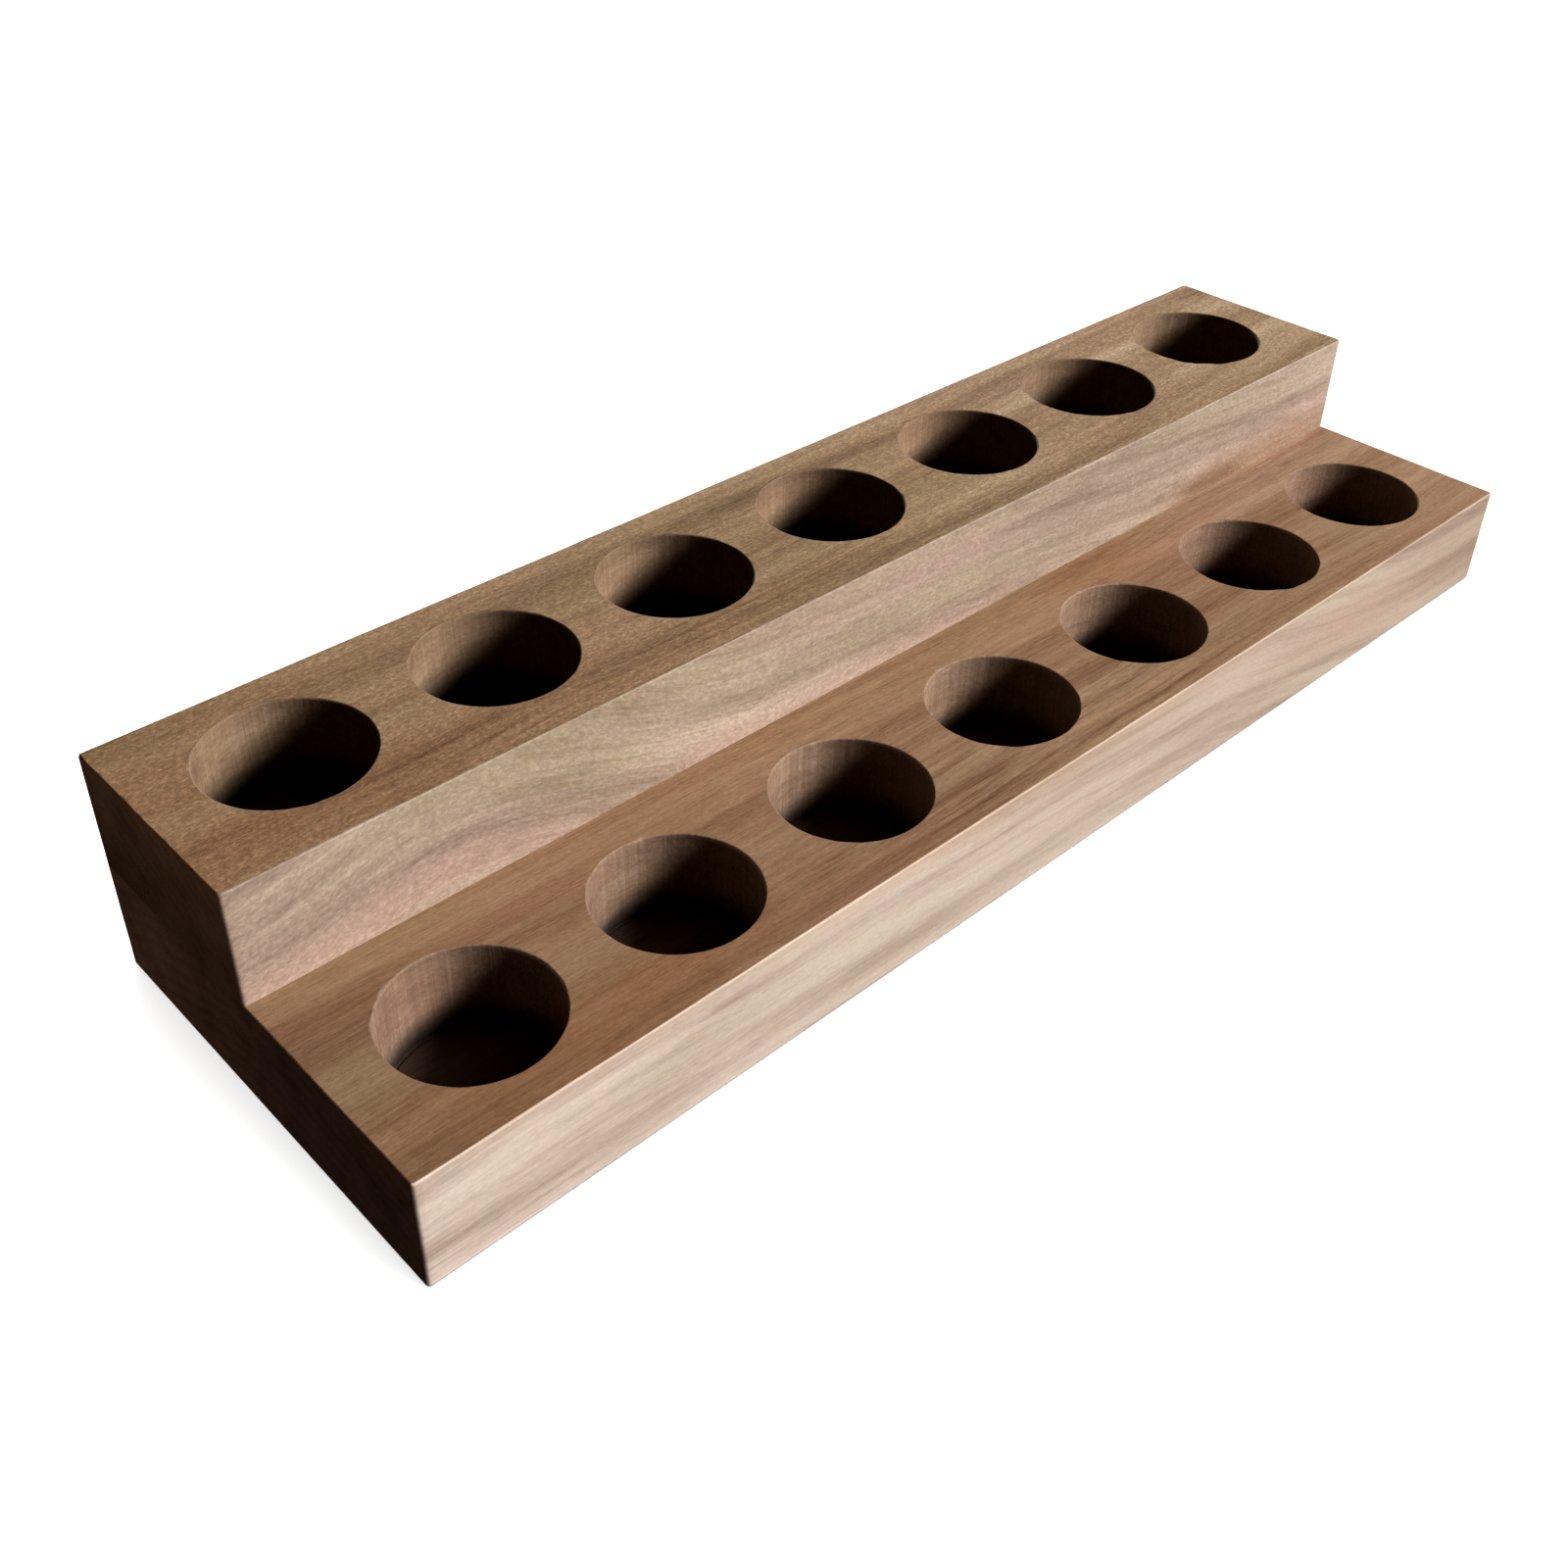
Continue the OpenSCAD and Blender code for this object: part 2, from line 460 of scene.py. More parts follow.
def riser_ease_top(x, y, n):
    e = 0.27 + wander(x, y, 5.0, 0.09)
    if n[0] < -0.5:  # the sawn left edge is fuzzy
        e += 0.22 * max(0.0, fbm(y * 1100, 1.4, 0.0, 2))
    return min(max(e, 0.16), 0.52) * MM


def riser_ease_bottom(x, y, n):
    return 0.05 * MM


riser = board(
    "riser_board_wood", RISER_LO, RISER_HI,
    plate_cells(rspans, rys, sockets["rear"]),
    dowel_cells(rxs, rys, RISER_LO.z, False),
    rxs, rys, riser_ease_top, riser_ease_bottom, 30, 96, RISER_HI.y)

# faint unevenness of the sanded faces, nothing on the glue joint
for o, zj, sgn in ((base, BASE_HI.z, 1), (riser, RISER_LO.z, -1)):
    me = o.data
    n = len(me.vertices)
    co = np.empty(n * 3)
    me.vertices.foreach_get("co", co)
    co = co.reshape(-1, 3)
    nm = np.empty(n * 3)
    me.vertices.foreach_get("normal", nm)
    nm = nm.reshape(-1, 3)
    lo, hi = (BASE_LO, BASE_HI) if sgn > 0 else (RISER_LO, RISER_HI)
    for i in range(n):
        x, y, z = co[i]
        if abs(z - zj) < 0.4 * MM and y > RISER_LO.y - 0.4 * MM:
            continue
        if z < 0.4 * MM:
            continue
        d = 0.030 * noise.noise(Vector((x * 45, y * 130, z * 130))) - 0.012
        co[i] += nm[i] * d * MM
    me.vertices.foreach_set("co", co.ravel())
    me.update()


# ---------------------------------------------------------------- materials
def srgb(r, g, b):
    def f(c):
        c /= 255.0
        return c / 12.92 if c <= 0.04045 else ((c + 0.055) / 1.055) ** 2.4
    return (f(r), f(g), f(b), 1.0)


class Tree:
    """Small helper for building a node tree."""

    def __init__(self, name):
        self.mat = bpy.data.materials.new(name)
        self.mat.use_nodes = True
        self.nt = self.mat.node_tree
        self.nt.nodes.clear()
        self.out = self.nt.nodes.new("ShaderNodeOutputMaterial")
        self.bsdf = self.nt.nodes.new("ShaderNodeBsdfPrincipled")
        self.nt.links.new(self.bsdf.outputs["BSDF"], self.out.inputs["Surface"])
        self.coord = self.nt.nodes.new("ShaderNodeTexCoord").outputs["Object"]

    def set(self, socket, value):
        if isinstance(value, bpy.types.NodeSocket):
            self.nt.links.new(value, socket)
        else:
            socket.default_value = value

    def math(self, op, a, b=0.0, c=0.0, clamp=False):
        n = self.nt.nodes.new("ShaderNodeMath")
        n.operation = op
        n.use_clamp = clamp
        self.set(n.inputs[0], a)
        self.set(n.inputs[1], b)
        self.set(n.inputs[2], c)
        return n.outputs[0]

    def add(self, *xs):
        r = xs[0]
        for x in xs[1:]:
            r = self.math("ADD", r, x)
        return r

    def mul(self, a, b):
        return self.math("MULTIPLY", a, b)

    def mapping(self, v, loc=(0, 0, 0), rot=(0, 0, 0), scale=(1, 1, 1)):
        n = self.nt.nodes.new("ShaderNodeMapping")
        n.vector_type = "POINT"
        self.set(n.inputs["Vector"], v)
        n.inputs["Location"].default_value = loc
        n.inputs["Rotation"].default_value = [math.radians(a) for a in rot]
        n.inputs["Scale"].default_value = scale
        return n.outputs[0]

    def noise(self, v, detail=2.0, rough=0.5, distortion=0.0, out="Fac"):
        n = self.nt.nodes.new("ShaderNodeTexNoise")
        self.set(n.inputs["Vector"], v)
        n.inputs["Scale"].default_value = 1.0
        n.inputs["Detail"].default_value = detail
        n.inputs["Roughness"].default_value = rough
        n.inputs["Distortion"].default_value = distortion
        return n.outputs[out]

    def voronoi(self, v, feature="F1", randomness=1.0):
        n = self.nt.nodes.new("ShaderNodeTexVoronoi")
        n.feature = feature
        self.set(n.inputs["Vector"], v)
        n.inputs["Scale"].default_value = 1.0
        n.inputs["Randomness"].default_value = randomness
        return n

    def ramp(self, f, stops, mode="LINEAR"):
        n = self.nt.nodes.new("ShaderNodeValToRGB")
        n.color_ramp.interpolation = mode
        e = n.color_ramp.elements
        while len(e) < len(stops):
            e.new(0.5)
        for el, (p, c) in zip(e, stops):
            el.position = p
            el.color = c
        self.set(n.inputs["Fac"], f)
        return n.outputs["Color"]

    def range(self, f, a, b, lo=0.0, hi=1.0, smooth=True):
        n = self.nt.nodes.new("ShaderNodeMapRange")
        n.interpolation_type = "SMOOTHSTEP" if smooth else "LINEAR"
        self.set(n.inputs["Value"], f)
        n.inputs["From Min"].default_value = a
        n.inputs["From Max"].default_value = b
        n.inputs["To Min"].default_value = lo
        n.inputs["To Max"].default_value = hi
        return n.outputs["Result"]

    def mix(self, f, a, b, blend="MIX"):
        n = self.nt.nodes.new("ShaderNodeMix")
        n.data_type = "RGBA"
        n.blend_type = blend
        self.set(n.inputs["Factor"], f)
        self.set(n.inputs[6], a)
        self.set(n.inputs[7], b)
        return n.outputs[2]

    def xyz(self, v):
        n = self.nt.nodes.new("ShaderNodeSeparateXYZ")
        self.set(n.inputs[0], v)
        return n.outputs

    def combine(self, x, y, z):
        n = self.nt.nodes.new("ShaderNodeCombineXYZ")
        self.set(n.inputs[0], x)
        self.set(n.inputs[1], y)
        self.set(n.inputs[2], z)
        return n.outputs[0]

    def bump(self, height, strength, distance):
        n = self.nt.nodes.new("ShaderNodeBump")
        n.inputs["Strength"].default_value = strength
        n.inputs["Distance"].default_value = distance
        self.set(n.inputs["Height"], height)
        self.nt.links.new(n.outputs["Normal"], self.bsdf.inputs["Normal"])


def walnut(name, *, shift, slope, pith, ring_mm, colours, streak=0.5, mid=0.35, fine=0.25, rings=0.2,
           pores=0.5, rough=0.62, spec=0.3, bump=0.5, flow=(), swirl=None, speckle=0.0, hue=0.3, painted_light_drift=None,
           tints_and_painted_shade=(), lines=(), ribs=0.0, painted_light_ramp=None, grit=(1100, 1800), scales=((6.0, 130), (40.0, 520), (330.0, 2100))):
    """Solid walnut, its grain along X. colours is (dark, body, light, pink, olive) in linear RGBA.

    flow: (x0, x1, rise) steps that lead the grain up or down along X.
    swirl: (x, z, rx, rz, gain) where the broad figure is stronger.
    patches: (centre, radii, tint, amount) local tints, mostly the wood's own colour, some of them painted shade; lines:
    the same, as thin streaks along the grain.
    fade: (axis, from, to, tint there, tint here), painted light and shade as a colour ramp along one axis.
    drift: (tint at the left, tint at the right), painted light as a colour ramp along X.
    """
    t = Tree(name)
    dark, body, light, pink, olive = colours
    p = t.mapping(t.coord, loc=shift, rot=slope)
    place = t.xyz(t.coord)

    # slow wander of the grain, so that no line is straight
    w = t.noise(t.mapping(p, scale=(9, 30, 30)), detail=2.0, out="Color")
    wx = t.xyz(w)
    px = t.xyz(p)
    wy = t.math("MULTIPLY_ADD", t.math("SUBTRACT", wx[1], 0.5), 0.008, px[1])
    wz = t.math("MULTIPLY_ADD", t.math("SUBTRACT", wx[2], 0.5), 0.008, px[2])
    for (x0, x1, rise) in flow:
        wz = t.add(wz, t.range(place[0], x0, x1, 0.0, rise))
    q = t.combine(px[0], wy, wz)

    def where(centre, radii, inner=0.25):
        d = []
        for i in range(3):
            d.append(t.mul(t.math("SUBTRACT", place[i], centre[i]), 1.0 / radii[i]))
        r = t.math("SQRT", t.add(t.mul(d[0], d[0]), t.mul(d[1], d[1]), t.mul(d[2], d[2])))
        return t.range(t.add(r, t.mul(t.math("SUBTRACT", wx[0], 0.5), 0.9)), inner, 1.0, 1.0, 0.0)

    # growth rings round a far pith line
    qx = t.xyz(q)
    ry = t.math("SUBTRACT", qx[1], pith[0])
    rz = t.math("SUBTRACT", qx[2], pith[1])
    rad = t.math("SQRT", t.add(t.mul(ry, ry), t.mul(rz, rz)))
    rn = t.noise(t.mapping(q, scale=(4, 40, 40)), detail=2.0)
    ringpos = t.add(t.math("MULTIPLY", rad, 1000.0 / ring_mm), t.mul(rn, 1.3))
    fr = t.math("FRACT", ringpos)
    late = t.math("MULTIPLY", t.range(fr, 0.35, 0.93, 0.0, 1.0), t.range(fr, 0.94, 1.0, 1.0, 0.0))

    # long colour streaks, fibre bundles and fine fibres
    (lx, lr), (mx_, mr), (fx, fr_) = scales
    long_ = t.noise(t.mapping(q, scale=(lx, lr, lr)), detail=2.0, rough=0.5)
    mid_ = t.noise(t.mapping(q, scale=(mx_, mr, mr)), detail=3.0, rough=0.55)
    fine_ = t.noise(t.mapping(q, scale=(fx, fr_, fr_)), detail=3.0, rough=0.65)
    big = t.math("SUBTRACT", long_, 0.5)
    near = None
    if swirl is not None:
        near = where((swirl[0], 0.0, swirl[1]), (swirl[2], 9.0, swirl[3]))
        big = t.mul(big, t.math("MULTIPLY_ADD", near, swirl[4], 1.0))
    f = t.add(
        0.5,
        t.mul(big, streak * 2.2),
        t.mul(t.math("SUBTRACT", mid_, 0.5), mid * 1.6),
        t.mul(t.math("SUBTRACT", fine_, 0.5), fine * 1.5),
        t.mul(t.math("SUBTRACT", 0.35, late), rings),
    )
    col = t.ramp(f, [(0.08, dark), (0.5, body), (0.92, light)])

    # slow drifts of hue, pink to olive grey
    h = t.noise(t.mapping(q, loc=(3.1, 0.7, 1.9), scale=(11, 85, 85)), detail=2.0)
    hamt = hue if near is None else t.math("MULTIPLY_ADD", near, 0.7 * swirl[4] * hue, hue)
    col = t.mix(t.mul(t.range(h, 0.50, 0.70), hamt), col, pink)
    col = t.mix(t.mul(t.range(h, 0.50, 0.32), hamt), col, olive)

    # open pores: short dark dashes along the grain, dots on the ends
    v1 = t.voronoi(t.mapping(q, scale=(260, 2600, 2600)))
    dens = t.noise(t.mapping(q, scale=(12, 190, 190)), detail=1.0)
    keep = t.range(t.add(t.xyz(v1.outputs["Color"])[0], t.mul(t.math("SUBTRACT", dens, 0.5), 1.6)), 0.56, 0.80)
    pore = t.mul(t.range(v1.outputs["Distance"], 0.12, 0.45, 1.0, 0.0), keep)
    v2 = t.voronoi(t.mapping(q, loc=(0.4, 0.13, 0.77), scale=(480, 4600, 4600)))
    keep2 = t.range(t.xyz(v2.outputs["Color"])[1], 0.45, 0.7)
    pore2 = t.mul(t.range(v2.outputs["Distance"], 0.15, 0.45, 1.0, 0.0), keep2)
    pore_f = t.math("MAXIMUM", pore, t.mul(pore2, 0.7))
    col = t.mix(t.mul(pore_f, pores), col, t.mix(1.0, col, (0.46, 0.38, 0.32, 1), "MULTIPLY"))
    if speckle:
        s = t.noise(t.mapping(q, scale=(grit[0], grit[1], grit[1])), detail=4.0, rough=0.7)
        col = t.mix(speckle, col, t.ramp(s, [(0.30, srgb(112, 108, 98)), (0.5, srgb(188, 188, 188)), (0.70, srgb(255, 255, 255))]), "OVERLAY")

    # local tints and streaks
    for (centre, radii, tint, amount) in tints_and_painted_shade:
        col = t.mix(t.mul(where(centre, radii), amount), col, t.mix(1.0, col, (*tint, 1), "MULTIPLY"))
    if lines:
        ln = t.noise(t.mapping(q, loc=(0.3, 2.1, 5.7), scale=(17, 900, 900)), detail=2.0, rough=0.6)
        lf = t.range(ln, 0.50, 0.66)
        lp = t.range(ln, 0.48, 0.34)
        for (centre, radii, tint, amount) in lines:
            m_ = t.mul(where(centre, radii), t.mul(lp if tint[0] > 1 else lf, amount))
            col = t.mix(m_, col, t.mix(1.0, col, (*tint, 1), "MULTIPLY"))
    # painted light: a colour ramp from left to right across the board, standing in for the key's fall-off along the
    # fronts and the sheen that lightens the tops towards the right
    if painted_light_drift is not None:
        g = t.mix(t.range(place[0], -0.13, 0.13, smooth=False), (*painted_light_drift[0], 1), (*painted_light_drift[1], 1))
        col = t.mix(1.0, col, g, "MULTIPLY")
    # painted light and shade: a colour ramp along one axis, darkening the sockets towards the bottom and lightening the
    # end grain
    if painted_light_ramp is not None:
        ax, a0, a1, tint0, tint1 = painted_light_ramp
        g = t.mix(t.range(place[ax], a0, a1), (*tint0, 1), (*tint1, 1))
        col = t.mix(1.0, col, g, "MULTIPLY")
    hgt = t.add(t.mul(mid_, 0.30), t.mul(fine_, 0.55), t.mul(pore_f, -0.9 * pores))
    if ribs:
        rb = t.noise(t.mapping(t.coord, scale=(1700, 1700, 30)), detail=3.0, rough=0.6)
        col = t.mix(ribs, col, t.ramp(rb, [(0.30, srgb(150, 146, 142)), (0.5, srgb(188, 188, 188)), (0.70, srgb(226, 226, 226))]), "OVERLAY")
        hgt = t.add(hgt, t.mul(rb, 2.2 * ribs))
    if speckle:
        hgt = t.add(hgt, t.mul(s, 1.1 * speckle))
    t.set(t.bsdf.inputs["Base Color"], col)
    t.bsdf.inputs["Specular IOR Level"].default_value = spec
    rr = t.math("MULTIPLY_ADD", t.math("SUBTRACT", mid_, 0.5), 0.22, rough)
    rr = t.math("MULTIPLY_ADD", pore_f, 0.12 * pores, rr)
    t.set(t.bsdf.inputs["Roughness"], rr)
    t.bump(hgt, bump, 0.00012)
    return t.mat


def board_materials(tag, shift, slope, pith, c, z_top, top, side, end_painted_light):
    common = dict(shift=shift, slope=slope, pith=pith)
    # painted shade: socket walls darker towards the bottom, below the band lit near the mouth
    socket_painted_shade = (2, z_top - 0.0150, z_top - 0.0085, (0.25, 0.27, 0.30), (1.0, 1.0, 1.0))
    top = walnut(f"walnut_{tag}_top", **common, ring_mm=5.5, colours=c["top"], rough=0.64, spec=0.17, bump=0.5, **top)
    side = walnut(f"walnut_{tag}_side", **common, ring_mm=3.2, colours=c["side"], rough=0.62, bump=0.4, **side)
    # the end grain's colour ramp is painted light: lighter towards the rear on the base, towards the top on the riser
    end = walnut(f"walnut_{tag}_end", **common, ring_mm=2.6, colours=c["end"], streak=0.40, mid=0.20, fine=0.25,
                 rings=0.10, pores=0.6, hue=0.25, rough=0.75, bump=0.7, painted_light_ramp=end_painted_light)
    bore = walnut(f"walnut_{tag}_bore", **common, ring_mm=4.0, colours=c["bore"], streak=0.20, mid=0.22, fine=0.22,
                  rings=0.04, pores=0.12, hue=0.30, rough=0.72, bump=0.7, ribs=0.28, speckle=0.20, painted_light_ramp=socket_painted_shade)
    # painted shade: socket floors darkened too
    floor = walnut(f"walnut_{tag}_socket_floor", **common, ring_mm=5.0, colours=c["bore"], streak=0.25, mid=0.3, fine=0.3,
                   rings=0.1, pores=0.35, hue=0.2, rough=0.72, bump=0.8,
                   painted_light_ramp=(2, z_top - 0.0135, z_top - 0.0035, (0.48, 0.48, 0.50), (1.0, 1.0, 1.0)))
    return [top, side, end, bore, floor, side]


# Face colours, partly painted light: the side sets are lighter and greyer than the top sets so that the fronts come out
# brighter than the keys alone light them; the rest is the wood's own colour, with the end grain darker.
C_BASE = {
    "top": (srgb(112, 78, 58), srgb(158, 130, 105), srgb(184, 159, 136), srgb(166, 122, 104), srgb(150, 130, 102)),
    "side": (srgb(132, 110, 92), srgb(179, 162, 147), srgb(200, 188, 170), srgb(188, 165, 153), srgb(178, 166, 146)),
    "end": (srgb(84, 62, 50), srgb(116, 90, 74), srgb(140, 112, 94), srgb(122, 90, 76), srgb(108, 88, 70)),
    "bore": (srgb(94, 72, 58), srgb(134, 113, 97), srgb(162, 142, 125), srgb(144, 113, 100), srgb(129, 112, 90)),
}
C_RISER = {
    "top": (srgb(104, 76, 50), srgb(160, 129, 96), srgb(186, 158, 126), srgb(166, 124, 94), srgb(152, 129, 90)),
    "side": (srgb(110, 92, 78), srgb(156, 138, 123), srgb(180, 164, 146), srgb(170, 145, 134), srgb(150, 137, 114)),
    "end": (srgb(94, 70, 52), srgb(134, 104, 80), srgb(160, 128, 100), srgb(138, 100, 78), srgb(124, 102, 76)),
    "bore": (srgb(92, 68, 54), srgb(130, 110, 91), srgb(162, 142, 122), srgb(144, 117, 98), srgb(126, 107, 83)),
}
base_mats = board_materials(
    "base", (0.31, 0.17, 0.53), (0.0, -0.6, 1.2), (0.145, 0.42), C_BASE, BASE_HI.z,
    top=dict(streak=0.27, mid=0.29, fine=0.38, rings=0.06, pores=0.24, speckle=0.14, hue=0.26,
             scales=((5.0, 120), (15.0, 520), (150.0, 2300)),
             # painted light: darker at the left, lighter and greyer at the right, for the sheen on the top
             painted_light_drift=((0.83, 0.83, 0.82), (0.94, 0.97, 1.00)),
             lines=(((-0.005, -0.033, 0.02), (0.095, 0.012, 1.0), (0.60, 0.44, 0.38), 0.65),
                    ((0.000, -0.031, 0.02), (0.100, 0.012, 1.0), (1.22, 1.16, 1.14), 0.7),
                    ((0.060, -0.012, 0.02), (0.080, 0.012, 1.0), (0.78, 0.64, 0.58), 0.5)),
             tints_and_painted_shade=(((0.045, -0.004, 0.02), (0.020, 0.008, 1.0), (0.90, 0.78, 0.72), 0.6),
                      ((0.000, -0.033, 0.02), (0.060, 0.014, 1.0), (1.08, 1.14, 1.18), 0.8),
                      ((-0.095, -0.034, 0.02), (0.045, 0.010, 1.0), (0.98, 0.88, 0.80), 0.9),
                      ((0.095, -0.004, 0.02), (0.050, 0.012, 1.0), (1.04, 1.10, 1.20), 0.9))),
    side=dict(streak=0.41, mid=0.30, fine=0.25, rings=0.02, pores=0.12, speckle=0.08, hue=0.34,
              scales=((7.0, 150), (16.0, 420), (140.0, 2100)),
              flow=((-0.131, 0.131, 0.010), (0.020, 0.125, 0.010)),
              # painted light: lighter at the left, darker at the right, for the key's fall-off along the front
              painted_light_drift=((1.18, 1.24, 1.34), (0.78, 0.77, 0.77)),
              tints_and_painted_shade=(((-0.030, -0.04, 0.021), (0.140, 1.0, 0.006), (0.88, 0.81, 0.74), 0.7),
                       ((-0.044, -0.04, 0.0160), (0.010, 1.0, 0.003), (1.02, 1.05, 1.08), 0.8),
                       ((0.085, -0.04, 0.010), (0.060, 1.0, 0.009), (0.98, 0.92, 0.91), 0.8)),
              lines=(((0.03, -0.04, 0.013), (0.120, 1.0, 0.010), (0.80, 0.72, 0.66), 0.40),)),
    # painted light: the base's end grain lighter towards the rear
    end_painted_light=(1, -0.02, 0.04, (0.92, 0.90, 0.88), (1.72, 1.70, 1.74)))
riser_mats = board_materials(
    "riser", (1.27, 0.61, 0.29), (0.0, 1.0, -1.6), (0.70, 0.21), C_RISER, RISER_HI.z,
    top=dict(streak=0.38, mid=0.34, fine=0.34, rings=0.10, pores=0.26, speckle=0.44, hue=0.26,
             grit=(1250, 1900), scales=((6.0, 130), (24.0, 480), (260.0, 2200)),
             # painted light: lighter and bluer towards the right, for the sheen on the top
             painted_light_drift=((1.13, 1.165, 1.28), (1.29, 1.48, 1.84)),
             lines=(((-0.040, 0.004, 0.04), (0.110, 0.009, 1.0), (0.62, 0.50, 0.41), 0.5),
                    ((0.040, 0.036, 0.04), (0.090, 0.008, 1.0), (0.76, 0.66, 0.56), 0.5)),
             tints_and_painted_shade=(((-0.080, 0.005, 0.04), (0.080, 0.012, 1.0), (0.86, 0.80, 0.74), 0.6),
                      ((0.000, 0.020, 0.04), (0.070, 0.040, 1.0), (0.93, 0.95, 0.87), 0.8))),
    side=dict(streak=0.36, mid=0.30, fine=0.32, rings=0.02, pores=0.18, speckle=0.26, hue=0.44,
              scales=((8.0, 130), (18.0, 400), (160.0, 2100)),
              flow=((-0.131, -0.098, -0.004), (-0.100, -0.032, 0.017), (-0.040, 0.131, 0.013)),
              swirl=(-0.058, 0.030, 0.036, 0.030, 0.7),
              # painted light: a slight colour ramp from left to right
              painted_light_drift=((0.98, 0.99, 1.03), (0.94, 0.99, 1.04)),
              # painted shade: the first three tints darken the lower edge of the step face at the right, where it meets
              # the base top
              tints_and_painted_shade=(((0.088, 0.0, 0.0205), (0.014, 1.0, 0.0045), (0.72, 0.60, 0.50), 0.8),
                       ((0.113, 0.0, 0.0200), (0.032, 1.0, 0.0055), (0.86, 0.77, 0.68), 0.7),
                       ((0.105, 0.0, 0.0225), (0.050, 1.0, 0.0050), (0.84, 0.76, 0.70), 0.7),
                       ((-0.020, 0.0, 0.0375), (0.110, 1.0, 0.0035), (0.92, 0.92, 0.84), 0.6)),
              lines=(((-0.05, 0.0, 0.03), (0.080, 1.0, 0.016), (0.74, 0.68, 0.60), 0.45),
                     ((0.08, 0.0, 0.03), (0.070, 1.0, 0.016), (0.80, 0.72, 0.66), 0.45))),
    # painted light: the riser's end grain lighter towards the top
    end_painted_light=(2, 0.020, 0.040, (0.85, 0.82, 0.80), (1.28, 1.28, 1.30)))
for o, mats in ((base, base_mats), (riser, riser_mats)):
    for m in mats:
        o.data.materials.append(m)

# Beech pins, hidden in the joint
t = Tree("beech_pin")
pz = t.mapping(t.coord, scale=(1800, 1800, 60))
fleck = t.noise(pz, detail=3.0, rough=0.6)
col = t.ramp(fleck, [(0.3, srgb(176, 136, 92)), (0.5, srgb(205, 168, 124)), (0.7, srgb(222, 190, 150))])
ray = t.voronoi(t.mapping(t.coord, scale=(2600, 2600, 500)))
col = t.mix(t.mul(t.range(ray.outputs["Distance"], 0.12, 0.3, 1.0, 0.0), 0.35), col, srgb(150, 104, 66))
t.set(t.bsdf.inputs["Base Color"], col)
t.bsdf.inputs["Roughness"].default_value = 0.7
t.bump(fleck, 0.4, 0.0001)
for name, o in frame["nodes"].items():
    if name.startswith("dowel_pin"):
        o.data.materials.clear()
        o.data.materials.append(t.mat)

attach(base, "root")
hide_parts("base_board")
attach(riser, "root")
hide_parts("riser_board")

# ---------------------------------------------------------------- floor, light, camera
bpy.ops.mesh.primitive_circle_add(vertices=96, radius=12.0, fill_type="NGON", location=(0, 0, 0))
floor = bpy.context.object
floor.name = "studio_floor"
ft = Tree("studio_floor")
ft.bsdf.inputs["Base Color"].default_value = (0.86, 0.86, 0.86, 1)
ft.bsdf.inputs["Roughness"].default_value = 0.9
ft.bsdf.inputs["Specular IOR Level"].default_value = 0.1
floor.data.materials.append(ft.mat)
floor.visible_diffuse = False
floor.visible_glossy = False
floor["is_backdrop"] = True


def area(name, az, el, dist, w, h, energy, colour=(1, 1, 1), target=(0, 0, 0.03)):
    d = bpy.data.lights.new(name, "AREA")
    d.shape = "RECTANGLE"
    d.size, d.size_y = w, h
    d.energy = energy
    d.color = colour
    o = bpy.data.objects.new(name, d)
    bpy.context.scene.collection.objects.link(o)
    a, e = math.radians(az), math.radians(el)
    v = Vector((math.cos(a) * math.cos(e), math.sin(a) * math.cos(e), math.sin(e)))
    o.location = Vector(target) + v * dist
    o.rotation_mode = "QUATERNION"
    o.rotation_quaternion = v.to_track_quat("Z", "Y")
    return o


def link_light(light, receivers, name):
    c = bpy.data.collections.new(name)
    for r in receivers:
        c.objects.link(r)
    light.light_linking.receiver_collection = c


caddy = [base, riser] + [frame["nodes"][n] for n in frame["nodes"] if n.startswith("dowel_pin")]
key_b = area("key_base", -55, 31, 2.2, 1.0, 0.40, 116, (1.0, 0.995, 0.98))
link_light(key_b, [base], "key_base_receivers")
key_r = area("key_riser", -53, 23, 2.2, 1.0, 0.60, 115, (1.0, 0.995, 0.98))
link_light(key_r, [riser] + caddy[2:], "key_riser_receivers")
key_floor = area("key_on_floor", -62, 24, 1.3, 0.62, 0.2, 7, (1.0, 0.995, 0.98))
rear = area("rear_softbox", 56, 3.5, 1.0, 0.8, 0.11, 12, (1.0, 0.98, 0.95))
link_light(rear, caddy, "rear_receivers")
left = area("left_fill", 178, 0.5, 1.0, 0.6, 0.03, 1.5, (1.0, 0.94, 0.86))
link_light(left, caddy, "left_receivers")
sun = bpy.data.lights.new("floor_wash", "SUN")
sun.energy = 6.0
sun.angle = math.radians(110)
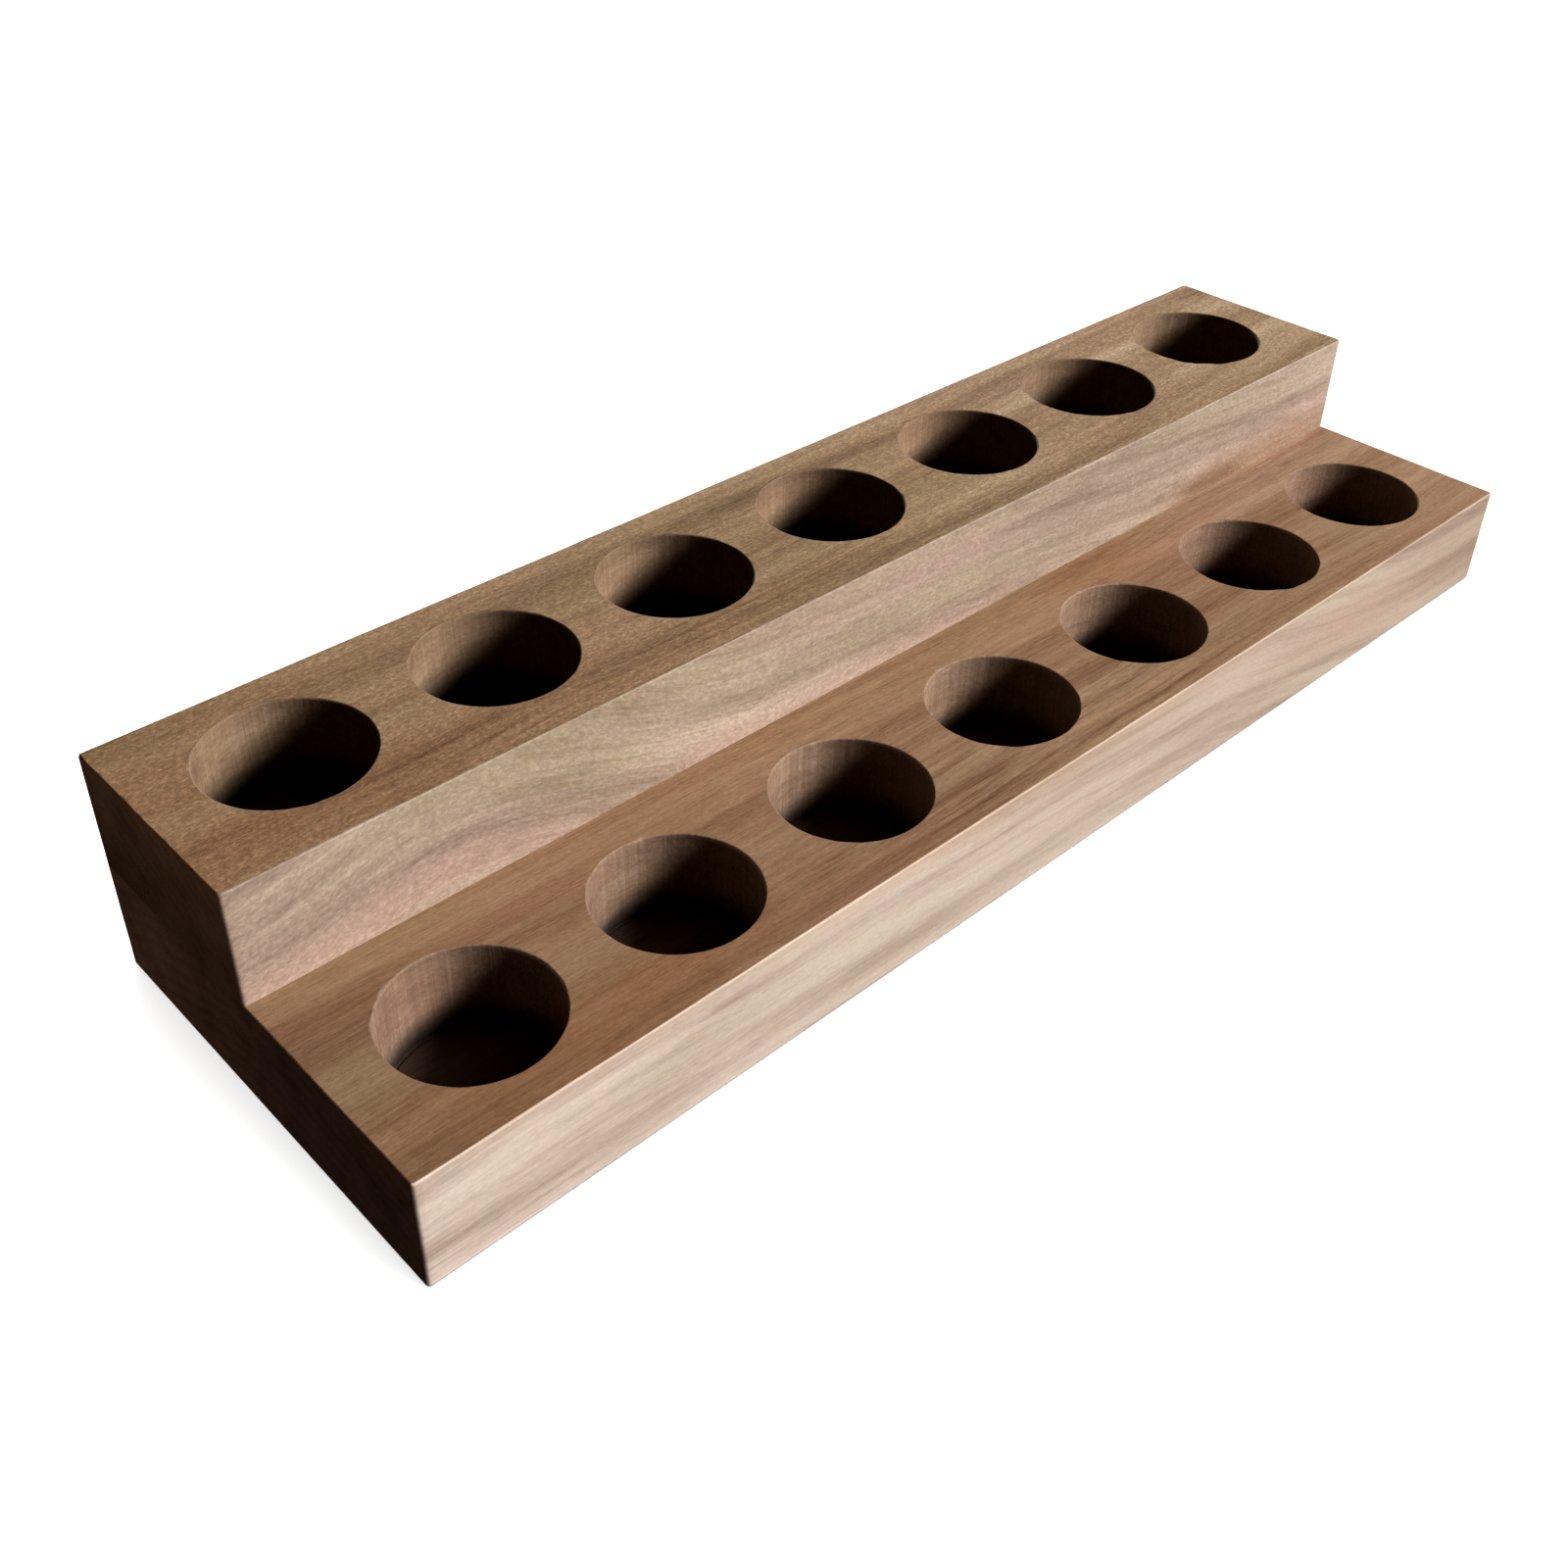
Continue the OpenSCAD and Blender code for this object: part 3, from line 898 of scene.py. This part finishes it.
sun_o = bpy.data.objects.new("floor_wash", sun)
bpy.context.scene.collection.objects.link(sun_o)
link_light(sun_o, [floor], "floor_receivers")
link_light(key_floor, [floor], "floor_key_receivers")

world = bpy.data.worlds.new("studio")
bpy.context.scene.world = world
world.use_nodes = True
wn = world.node_tree
wn.nodes.clear()
wo = wn.nodes.new("ShaderNodeOutputWorld")
bg_dim = wn.nodes.new("ShaderNodeBackground")
bg_dim.inputs["Color"].default_value = (1.0, 0.93, 0.86, 1)
bg_dim.inputs["Strength"].default_value = 0.012
bg_cam = wn.nodes.new("ShaderNodeBackground")
bg_cam.inputs["Color"].default_value = (1.0, 1.0, 1.0, 1)
bg_cam.inputs["Strength"].default_value = 1.0
lp = wn.nodes.new("ShaderNodeLightPath")
mx = wn.nodes.new("ShaderNodeMixShader")
wn.links.new(lp.outputs["Is Camera Ray"], mx.inputs[0])
wn.links.new(bg_dim.outputs[0], mx.inputs[1])
wn.links.new(bg_cam.outputs[0], mx.inputs[2])
wn.links.new(mx.outputs[0], wo.inputs["Surface"])

cam = bpy.data.cameras.new("camera")
cam_o = bpy.data.objects.new("camera", cam)
bpy.context.scene.collection.objects.link(cam_o)
right = Vector((0.73222417, -0.68095118, 0.01237955))
up = Vector((0.39450173, 0.43888292, 0.80731045))
back = Vector((-0.55517218, -0.58624847, 0.5899971))
m = Matrix.Identity(4)
for i, c in enumerate((right, up, back)):
    m.col[i][0:3] = c
m.col[3][0:3] = (-0.19189, -0.16595, 0.18754)
cam_o.matrix_world = m
cam.lens = 39.6357
cam.sensor_width = 36.0
cam.sensor_fit = "HORIZONTAL"
cam.shift_x = 0.01151
cam.shift_y = -0.03861
cam.clip_start = 0.01
cam.clip_end = 100.0
bpy.context.scene.camera = cam_o

scene = bpy.context.scene
scene.view_settings.view_transform = "Standard"
scene.view_settings.look = "None"
scene.view_settings.gamma = 0.75
scene.view_settings.use_curve_mapping = True
scene.view_settings.curve_mapping.black_level = (0.0044, 0.0043, 0.0043)

lo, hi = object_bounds()
